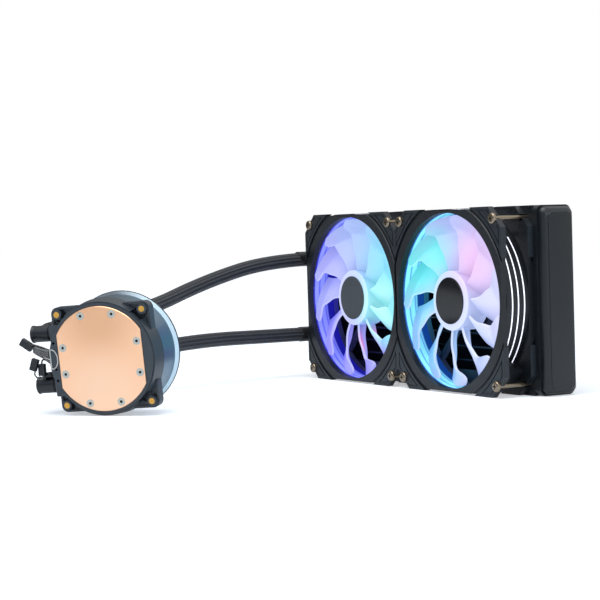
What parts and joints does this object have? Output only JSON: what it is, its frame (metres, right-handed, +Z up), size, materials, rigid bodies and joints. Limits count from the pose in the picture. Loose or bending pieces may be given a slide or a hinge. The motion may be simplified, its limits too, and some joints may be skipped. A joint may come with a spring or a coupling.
{
  "type": "all-in-one liquid cooler for a processor",
  "caption": "Liquid cooler for a computer processor: finned radiator with lit axial fans, joined by two hoses to a round pump head with a copper cold plate.",
  "frame": {"origin": "middle of the radiator's lower side plate, on the surface it stands on", "axes": "+X along the radiator towards the plain tank, +Y from the fans to the back of the radiator, +Z up"},
  "size_m": [0.2751, 0.316, 0.12],
  "materials": {
    "black_paint": "satin black paint",
    "black_plastic": "matt moulded plastic",
    "black_rubber": "soft rubber",
    "board": "circuit board",
    "braid": "braided sleeve on rubber",
    "brass": "turned",
    "cable_black": "ribbon of thin wires",
    "copper": "fine-brushed copper",
    "light_line": "diffusing light guide",
    "magnet": "sintered",
    "nickel": "nickel plate",
    "satin_metal": "satin anodised",
    "steel": "ground",
    "translucent_plastic": "translucent, lit from inside",
    "winding": "enamelled wire on laminations",
    "wire_tie": "thin coated wire"
  },
  "bodies": {
    "cooler_body": {"cable_tie": "wire_tie", "cold_plate": "copper", "fan_screws": "nickel", "fill_plug": "nickel", "header_plates": "black_paint", "left_corner_pads": "black_rubber", "left_fan_bearing": "steel", "left_fan_board": "board", "left_fan_frame": "black_plastic", "left_fan_stator": "winding", "left_light_ring": "light_line", "left_tank": "black_paint", "light_cable": "cable_black", "light_plugs": "black_plastic", "lower_hose": "braid", "lower_port_collar": "black_rubber", "lower_side_plate": "black_paint", "mount_inserts": "brass", "mounting_ring": "black_plastic", "plate_screws": "nickel", "plate_seal": "black_rubber", "power_cable": "cable_black", "power_cable_hank": "cable_black", "power_plug": "black_plastic", "pump_board": "board", "pump_body": "black_plastic", "pump_cap": "black_plastic", "pump_cover": "satin_metal", "pump_light_ring": "translucent_plastic", "pump_partition": "black_plastic", "pump_shaft": "steel", "pump_stator": "winding", "radiator_fins": "black_paint", "radiator_tubes": "black_paint", "right_corner_pads": "black_rubber", "right_fan_bearing": "steel", "right_fan_board": "board", "right_fan_frame": "black_plastic", "right_fan_stator": "winding", "right_light_ring": "light_line", "right_tank": "black_paint", "upper_hose": "braid", "upper_port_collar": "black_rubber", "upper_side_plate": "black_paint"},
    "left_fan_rotor": {"left_impeller": "translucent_plastic", "left_hub_cap": "black_plastic", "left_magnet_ring": "magnet", "left_fan_shaft": "steel"},
    "right_fan_rotor": {"right_impeller": "translucent_plastic", "right_hub_cap": "black_plastic", "right_magnet_ring": "magnet", "right_fan_shaft": "steel"},
    "pump_rotor": {"pump_impeller": "black_plastic"},
    "upper_elbow_body": {"upper_elbow": "black_plastic", "upper_elbow_seal": "black_rubber", "upper_pump_collar": "black_rubber"},
    "lower_elbow_body": {"lower_elbow": "black_plastic", "lower_elbow_seal": "black_rubber", "lower_pump_collar": "black_rubber"}
  },
  "joints": [
    {"name": "left_fan_spin", "type": "hinge", "parent": "cooler_body", "child": "left_fan_rotor", "pos_m": [-0.06, -0.026, 0.06], "axis": [0, -1, 0], "continuous": true},
    {"name": "right_fan_spin", "type": "hinge", "parent": "cooler_body", "child": "right_fan_rotor", "pos_m": [0.06, -0.026, 0.06], "axis": [0, -1, 0], "continuous": true},
    {"name": "pump_spin", "type": "hinge", "parent": "cooler_body", "child": "pump_rotor", "pos_m": [0.00951, -0.25233, 0.03644], "axis": [0.6747, -0.7337, -0.0802], "continuous": true},
    {"name": "upper_elbow_swivel", "type": "hinge", "parent": "cooler_body", "child": "upper_elbow_body", "pos_m": [-0.01196, -0.28038, 0.0502], "axis": [0.7379, 0.6729, 0.0522], "range_deg": [-15, 15], "deforming": ["upper_hose"]},
    {"name": "lower_elbow_swivel", "type": "hinge", "parent": "cooler_body", "child": "lower_elbow_body", "pos_m": [-0.01246, -0.27736, 0.01834], "axis": [0.7379, 0.6729, 0.0522], "range_deg": [-15, 15], "deforming": ["lower_hose"]}
  ]
}
